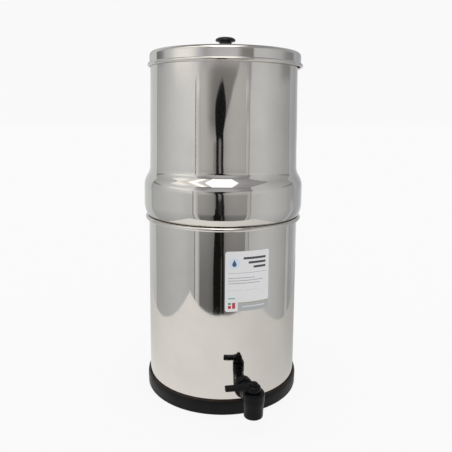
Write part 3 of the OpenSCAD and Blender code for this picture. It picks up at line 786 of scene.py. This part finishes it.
def label_material():
    """Coated white sheet, printed with plain bars, rules, blocks and a drop."""
    m, t, out = material("label_paper")
    p = principled(t, out)
    p.inputs["Specular IOR Level"].default_value = 0.35
    uvn = node(t, "ShaderNodeUVMap", uv_map="across")
    sep = t.nodes.new("ShaderNodeSeparateXYZ")
    t.links.new(uvn.outputs[0], sep.inputs[0])
    # in mm from the sheet's lower left corner
    x = math(t, "MULTIPLY", sep.outputs[0], LABEL_W)
    y = math(t, "MULTIPLY", sep.outputs[1], LABEL_H)
    tc = t.nodes.new("ShaderNodeTexCoord").outputs["Object"]
    fibre = noise(t, tc, 500.0, 5.0, 0.7)
    shade = noise(t, tc, 30.0, 3.0, 0.5)
    c = mixed(t, spread(t, shade, 0.3, 0.7, 0.0, 1.0), (0.672, 0.668, 0.676), (0.645, 0.641, 0.650))
    c = mixed(t, spread(t, fibre, 0.55, 0.8, 0.0, 0.3), c, (0.585, 0.582, 0.590))

    def patch(x0, x1, y0, y1):
        a = math(t, "COMPARE", x, (x0 + x1) / 2, (x1 - x0) / 2)
        b = math(t, "COMPARE", y, (y0 + y1) / 2, (y1 - y0) / 2)
        return math(t, "MULTIPLY", a, b)

    ink, grey, pale = (0.055, 0.055, 0.065), (0.26, 0.26, 0.28), (0.50, 0.53, 0.58)
    printed = [
        # thick bars, ranged right
        (24, 56, 69.5, 72.5, ink), (31, 56, 63.5, 66.5, ink), (38, 56, 57.5, 60.5, ink),
        # a rule, then short and long thin lines
        (4, 57, 51.4, 51.9, grey), (4, 40, 44.6, 45.4, grey), (4, 52, 41.0, 41.8, grey),
        (4, 47, 37.4, 38.2, grey), (4, 22, 28.2, 29.0, pale), (26, 44, 28.2, 29.0, pale),
        # grey band along the foot, with a pale line in it and a narrow gilt edge above
        (17, 62, 0.0, 11.2, (0.36, 0.37, 0.38)), (23, 55, 5.4, 6.6, (0.62, 0.63, 0.64)), (17, 62, 11.2, 12.0, (0.34, 0.26, 0.13)),
        # three small blocks
        (9.5, 13.5, 4.0, 12.0, (0.42, 0.035, 0.05)), (4.0, 8.0, 4.0, 8.0, (0.42, 0.035, 0.05)),
        (4.0, 8.0, 9.4, 12.0, (0.05, 0.28, 0.20)), (4.0, 13.5, 17.0, 18.4, (0.10, 0.34, 0.28)),
    ]
    for x0, x1, y0, y1, colour in printed:
        c = mixed(t, patch(x0, x1, y0, y1), c, colour)
    # a drop in a pale disc
    dx = math(t, "SUBTRACT", x, 12.0)
    dy = math(t, "SUBTRACT", y, 64.5)
    away = math(t, "SQRT", math(t, "ADD", math(t, "MULTIPLY", dx, dx), math(t, "MULTIPLY", dy, dy)))
    c = mixed(t, math(t, "LESS_THAN", away, 7.4), c, (0.55, 0.62, 0.72))
    dy2 = math(t, "ADD", dy, 1.4)
    low = math(t, "LESS_THAN", math(t, "SQRT", math(t, "ADD", math(t, "MULTIPLY", dx, dx), math(t, "MULTIPLY", dy2, dy2))), 2.9)
    up = math(t, "MULTIPLY", math(t, "GREATER_THAN", dy2, 0.9),
              math(t, "LESS_THAN", math(t, "ABSOLUTE", dx), math(t, "MULTIPLY", math(t, "SUBTRACT", 6.6, dy2), 0.48)))
    c = mixed(t, math(t, "MAXIMUM", low, up), c, (0.05, 0.09, 0.17))
    t.links.new(c, p.inputs["Base Color"])
    t.links.new(math(t, "ADD", math(t, "MULTIPLY", shade, 0.15), 0.30), p.inputs["Roughness"])
    n = bump(t, fibre, 0.3, 0.00001)
    t.links.new(bump(t, shade, 0.5, 0.00010, n), p.inputs["Normal"])
    return m


# ----------------------------------------------------------------------- steel
steel = steel_material("polished_steel", floor=3)
steel_upper = steel_material("polished_steel_upper", floor=FLOOR_Z)
steel_lid = steel_material("polished_steel_lid", rough=0.06)

h = WALL / 2
lower_path = (
    between((0, 3 + h), (BODY_R - 6, 3 + h), 24)
    + arc(BODY_R - 6, 9, 6 - h, 6 - h, -90, 0, 16)
    + between((BODY_R - h, 9.2), (BODY_R - h, RIM_Z - 7), 24)
    + between((BODY_R - h, RIM_Z - 7), (BODY_R - h, RIM_Z), 8)
    + arc(BODY_R - h + 2.55, RIM_Z, 2.55, 2.5, 180, -130, 72)
)
lower = lathe("lower_chamber_steel", round_ends(lower_path, WALL))
drill(lower, [((0, -BODY_R, TAP_Z), (0, 1, 0), 8.2, 16)])
lower.data.materials.append(steel)
soften(lower)
stands_for(lower, "lower", "polished_steel", "lower_chamber_wall", "lower_chamber_floor")

z1 = SEAM_Z + 41.8
A32 = radians(32)
EASE = TAPER + 0.5
straight = BULGE_R - UPPER_R - 27.5 * (1 - cos(A32)) - EASE - 24 * (1 - cos(A32))
z2 = z1 + 27.5 * sin(A32) + straight * tan(radians(58)) + 24 * sin(A32)
wall = []
for i in range(1, 41):
    g = i / 40
    wall.append((UPPER_R + TAPER + (EASE - TAPER) * (1 - g) ** 3 * (1 + 3 * g) - h, z2 + 34 * g))
for i in range(1, 61):
    g = i / 60
    wall.append((UPPER_R + TAPER * (0.5 + 0.5 * cos(pi * g)) - h, z2 + 34 + (RIM2_Z - 3 - z2 - 34) * g))
upper_path = (
    between((0, FLOOR_Z + h), (NEST_R - 4, FLOOR_Z + h), 24)
    + arc(NEST_R - 4, FLOOR_Z + 4, 4 - h, 4 - h, -90, 0, 12)
    + arc(NEST_R - h + 1.2, SEAM_Z - 0.8, 1.2, 1.2, 180, 90, 8)
    + arc(BODY_R + 0.6, SEAM_Z + 1.6, 1.2, 1.2, -90, -30, 8)
    + arc(BULGE_R - 38 - h, SEAM_Z + 17.7, 38, 38, -24, 0, 40)
    + between((BULGE_R - h, SEAM_Z + 18.2), (BULGE_R - h, z1 - 0.5), 8)
    + arc(BULGE_R - 27.5 - h, z1, 27.5, 27.5, 0, 32, 44)
    + arc(UPPER_R + EASE + 24 - h, z2, 24, 24, 212, 180, 40)
    + wall
    + arc(UPPER_R - h - 1.4, RIM2_Z, 1.4, 1.4, 0, 300, 40)
)
upper = lathe("upper_chamber_steel", round_ends(upper_path, WALL))
drill(upper, [((x, y, FLOOR_Z), (0, 0, 1), 6.4, 6) for x, y in ((-52, 0), (52, 0), (0, -52), (0, 52))])
upper.data.materials.append(steel_upper)
soften(upper)
stands_for(upper, "upper", "polished_steel", "upper_chamber_wall", "upper_chamber_floor")

# the skirt flares a little towards its rolled edge
FLARE = 0.12
edge_r = LID_R - LID_T / 2
crown = []
for i in range(0, 60):
    g = i / 60
    crown.append((15 + (LID_R - 5.5 - 15) * g, LID_TOP + CROWN * (0.5 + 0.5 * cos(pi * g)) - LID_T / 2))
skirt = [(edge_r + FLARE * (i / 24) ** 2, SHOULDER_Z - (SKIRT_H - 1.0) * i / 24) for i in range(1, 25)]
lid_path = (
    between((2.7, KNOB_Z - LID_T / 2), (15, KNOB_Z - LID_T / 2), 6)
    + crown
    + arc(LID_R - 5.5, SHOULDER_Z, 5.5 - LID_T / 2, 5.5 - LID_T / 2, 90, 0, 28)
    + skirt
    + arc(edge_r + FLARE + 1.42, SHOULDER_Z - SKIRT_H, 1.42, 2.2, 180, 445, 64)
)
lid = lathe("lid_steel", round_ends(lid_path, LID_T))
painted(lid, steel_lid)
soften(lid)
lid.location = (LID_X * MM, LID_Y * MM, 0)
stands_for(lid, "lid", "polished_steel", "lid_top", "lid_skirt")

# ------------------------------------------------------------------------- knob
black = plastic_material("black_plastic", base=(0.0034, 0.0034, 0.0038), rough=0.28, spec=0.11, wear=0.005)
knob_black = plastic_material("knob_plastic", base=(0.0035, 0.0035, 0.0050), rough=0.22, spec=0.42, grain=0.00001, wear=0.006)
K = KNOB_Z
knob_loop = tidy(
    [(0, K + 11), (1.6, K + 11.0), (2.5, K + 10.2)]
    + between((2.5, K + 10), (2.5, K), 4)
    + between((2.5, K), (9.4, K), 6)
    + arc(9.2, K + 0.5, 0.5, 0.5, -60, 60, 6)
    + arc(9.7, K + 1.9, 0.9, 0.9, 250, 180, 8)
    + between((8.8, K + 2.1), (8.75, K + KNOB_H - 8.6), 24)
    + arc(10.6, K + KNOB_H - 8.0, 1.85, 1.6, 180, 110, 8)
    + between((11.2, K + KNOB_H - 6.35), (KNOB_R - 1.7, K + KNOB_H - 6.0), 4)
    + arc(KNOB_R - 1.6, K + KNOB_H - 4.0, 1.6, 1.9, -75, 0, 10)
    + arc(KNOB_R - 8.8, K + KNOB_H - 4.1, 8.8, 4.1, 4, 90, 30)
    + between((KNOB_R - 8.9, K + KNOB_H + 0.0), (0.4, K + KNOB_H + 0.1), 6)
    + [(0, K + KNOB_H + 0.1)]
)


def flutes(r, z, a):
    lo, hi = K + 1.6, K + KNOB_H - 7.6
    if r < 6 or r > 11.2 or z < lo or z > hi:
        return r
    fade = min(1.0, (z - lo) / 1.2, (hi - z) / 1.2)
    return r - 0.75 * fade * max(0.0, cos(18 * a)) ** 0.7


knob = lathe("lid_knob_moulded", knob_loop, turn=flutes)
painted(knob, knob_black)
keep_sharp(knob, 50)
knob.location = (LID_X * MM, LID_Y * MM, 0)
stands_for(knob, "lid", "black_plastic", "lid_knob")

# -------------------------------------------------------------------- base ring
ring_loop = tidy(
    between((BODY_R - 8, 0), (BODY_R + RING_T - 1.6, 0), 12)
    + arc(BODY_R + RING_T - 1.6, 1.2, 1.2, 1.2, -90, 0, 10)
    + [(BODY_R + RING_T - 0.4 + 0.4 * (0.5 - 0.5 * cos(pi * i / 20)), 1.4 + (0.64 * RING_H - 1.4) * i / 20) for i in range(21)]
    + arc(BODY_R + RING_T - 2.2, 0.64 * RING_H, 2.2, 0.36 * RING_H, 0, 90, 24)
    + [(BODY_R + 0.35, RING_H), (BODY_R + 0.12, RING_H - 0.12), (BODY_R + 0.05, RING_H - 0.4)]
    + between((BODY_R + 0.05, RING_H - 0.5), (BODY_R + 0.05, 9), 6)
    + arc(BODY_R - 6, 9, 6.05, 6.05, 0, -84, 16)
    + [(BODY_R - 6.6, 3), (BODY_R - 8, 3)]
)
ring = lathe("base_ring_moulded", ring_loop)
painted(ring, ring_material())
keep_sharp(ring, 50)
stands_for(ring, "lower", "base_plastic", "base_ring")

# ------------------------------------------------------------------------ label
bm = bmesh.new()
uv = bm.loops.layers.uv.new("across")
NU, NV, CORNER = 56, 48, 3.0
heights = [0.0, 0.12, 0.35, 0.7, 1.2, 1.9, 3.0]
heights += [3.0 + (LABEL_H - 6.0) * i / (NV - 12) for i in range(1, NV - 12)]
heights += [LABEL_H - k for k in (3.0, 1.9, 1.2, 0.7, 0.35, 0.12, 0.0)]
front, back = [], []
for y in heights:
    d = min(y, LABEL_H - y)
    inset = CORNER - (max(0.0, CORNER**2 - (CORNER - d) ** 2)) ** 0.5 if d < CORNER else 0.0
    f_row, b_row = [], []
    for i in range(NU + 1):
        x = inset + (LABEL_W - 2 * inset) * i / NU
        a = (x - LABEL_W / 2 + LABEL_MID) / BODY_R - pi / 2
        for row, r in ((f_row, BODY_R + 0.20), (b_row, BODY_R + 0.03)):
            v = bm.verts.new((r * cos(a) * MM, r * sin(a) * MM, (LABEL_Z + y) * MM))
            row.append((v, (x / LABEL_W, y / LABEL_H)))
    front.append(f_row)
    back.append(b_row)


def quad(*corners):
    f = bm.faces.new([c[0] for c in corners])
    f.smooth = True
    for loop, c in zip(f.loops, corners):
        loop[uv].uv = c[1]


for j in range(len(heights) - 1):
    for i in range(NU):
        quad(front[j][i], front[j][i + 1], front[j + 1][i + 1], front[j + 1][i])
        quad(back[j][i + 1], back[j][i], back[j + 1][i], back[j + 1][i + 1])
    quad(back[j][0], front[j][0], front[j + 1][0], back[j + 1][0])
    quad(front[j][NU], back[j][NU], back[j + 1][NU], front[j + 1][NU])
for i in range(NU):
    quad(back[0][i], back[0][i + 1], front[0][i + 1], front[0][i])
    quad(front[-1][i], front[-1][i + 1], back[-1][i + 1], back[-1][i])
bmesh.ops.recalc_face_normals(bm, faces=bm.faces)
me = bpy.data.meshes.new("front_label_sheet")
bm.to_mesh(me)
bm.free()
label = bpy.data.objects.new("front_label_sheet", me)
scene.collection.objects.link(label)
painted(label, label_material())
keep_sharp(label, 40)
stands_for(label, "lower", "label_paper", "front_label")

# -------------------------------------------------------------------------- tap
to_tap = Matrix.Translation((0, TAP_Y * MM, 0))
lie = Matrix.Translation((0, 0, TAP_Z * MM)) @ Matrix.Rotation(radians(-90), 4, "X")
C = COLLAR_Z
spout_loop = [
    (0, SPOUT_Z), (SPOUT_R - 1.0, SPOUT_Z), (SPOUT_R - 0.2, SPOUT_Z + 0.8), (SPOUT_R + 0.15, TAP_Z - 6.0),
    (SPOUT_R + 0.45, TAP_Z - 3.0), (COLLAR_R - 0.4, TAP_Z + 1.6), (COLLAR_R, TAP_Z + 4.6), (COLLAR_R + 0.1, C - 2.2),
    (COLLAR_R - 1.2, C + 0.1), (0, C + 0.1),
]
spout = placed(lathe("spout", spout_loop, 96), to_tap)
neck_loop = [
    (0, TAP_Y + 5), (8.6, TAP_Y + 5), (10.6, TAP_Y + 12.2), (9.5, TAP_Y + 15.5), (9.4, -BODY_R - 8.6), (10.2, -BODY_R - 6.4),
    (13.3, -BODY_R - 5.7), (13.5, -BODY_R - 2.0), (8.1, -BODY_R - 2.0), (8.1, -BODY_R + 22.0), (0, -BODY_R + 22.0),
]
neck = placed(lathe("neck", neck_loop, 96), lie)
tap = fuse("tap_body_moulded", [spout, neck], 0.42, 4)
drill(tap, [
    ((0, TAP_Y, TAP_Z - 9 + 20), (0, 0, 1), 9.0, 40),
    ((0, TAP_Y, C - 3.6 + 5), (0, 0, 1), 11.0, 10),
    ((0, TAP_Y, SPOUT_Z + 8), (0, 0, 1), 8.0, 20),
    ((0, (TAP_Y - BODY_R + 24) / 2, TAP_Z), (0, 1, 0), 5.0, -BODY_R + 24 - TAP_Y),
])
painted(tap, black)
keep_sharp(tap)
stands_for(tap, "lower", "black_plastic", "tap_body")

hub_loop = tidy(
    [(0, C + 0.5), (8.7, C + 0.5), (9.4, C + 1.2)]
    + arc(3.9, C + 3.7, 5.5, 5.5, 0, 60, 12)
    + [(0, C + 8.5)]
)
hub = lathe("hub", hub_loop, 96)
plan = (
    [(0, LEVER_W / 2 + 1.4), (-9, LEVER_W / 2 + 1.0), (-14, LEVER_W / 2)]
    + arc(-LEVER_L + 1.4, LEVER_W / 2 - 1.4, 1.4, 1.4, 90, 180, 6)
    + arc(-LEVER_L + 1.4, -LEVER_W / 2 + 1.4, 1.4, 1.4, 180, 270, 6)
    + [(-14, -LEVER_W / 2), (-9, -LEVER_W / 2 - 1.0), (0, -LEVER_W / 2 - 1.4)]
)
bm = bmesh.new()
under = [bm.verts.new((x * MM, y * MM, (C + 3.9) * MM)) for x, y in plan]
over = [bm.verts.new((x * MM, y * MM, (C + 8.8) * MM)) for x, y in plan]
bm.faces.new(under)
bm.faces.new(over[::-1])
for i in range(len(plan)):
    j = (i + 1) % len(plan)
    bm.faces.new((under[i], over[i], over[j], under[j]))
bmesh.ops.recalc_face_normals(bm, faces=bm.faces)
me = bpy.data.meshes.new("arm")
bm.to_mesh(me)
bm.free()
arm = bpy.data.objects.new("arm", me)
scene.collection.objects.link(arm)
lever = fuse("tap_lever_moulded", [hub, arm], 0.36, 4)
placed(lever, to_tap @ Matrix.Rotation(radians(-LEVER_REST), 4, "Z"))
drill(lever, [
    ((0, TAP_Y, C + 6.6 + 5), (0, 0, 1), 5.6, 10),
    ((0, TAP_Y, C + 2.9), (0, 0, 1), 5.05, 5.8),
    ((0, TAP_Y, C + 5), (0, 0, 1), 1.7, 10),
])
painted(lever, black)
keep_sharp(lever)
stands_for(lever, "tap_handle", "black_plastic", "tap_lever")

cap_loop = tidy(
    [(3.4, C + 7.1), (5.3, C + 7.1), (5.5, C + 7.3)]
    + between((5.5, C + 7.6), (5.5, C + 9.4), 3)
    + arc(3.3, C + 9.4, 2.2, 2.3, 0, 84, 16)
    + [(0, C + 11.8), (0, C + 9.7), (3.0, C + 9.7), (3.4, C + 9.4)]
)
cap = placed(lathe("tap_lever_cap_moulded", cap_loop, 96), to_tap)
painted(cap, black)
keep_sharp(cap)
stands_for(cap, "tap_handle", "black_plastic", "tap_lever_cap")

# ------------------------------------------------------ the CAD's own inner pieces
rubber = plastic_material("rubber", base=(0.010, 0.010, 0.010), rough=0.62, spec=0.2, grain=0.00004, scale=700.0, wear=0.015)
ceramic = ceramic_material()
carbon = carbon_material()
white = plastic_material("white_plastic", base=(0.72, 0.73, 0.72), rough=0.38, spec=0.45, wear=0.04)
fastener = steel_material("fastener_steel", rough=0.22, wave=0.00001)
LOOK = {
    "tap_plug": black, "tap_back_nut": black, "tap_retaining_ring": black,
    "tap_outer_washer": rubber, "tap_inner_washer": rubber, "tap_plug_o_rings": rubber,
    "candle_washers": rubber, "blanking_washers": rubber,
    "left_candle_shell": ceramic, "right_candle_shell": ceramic,
    "left_candle_core": carbon, "right_candle_core": carbon,
    "left_candle_base": white, "right_candle_base": white, "candle_wing_nuts": white,
    "blanking_plugs": white, "blanking_nuts": white,
    "tap_lever_screw": fastener, "lid_knob_washer": fastener, "lid_knob_screw": fastener,
}
for name, mat in LOOK.items():
    painted(nodes[name], mat)
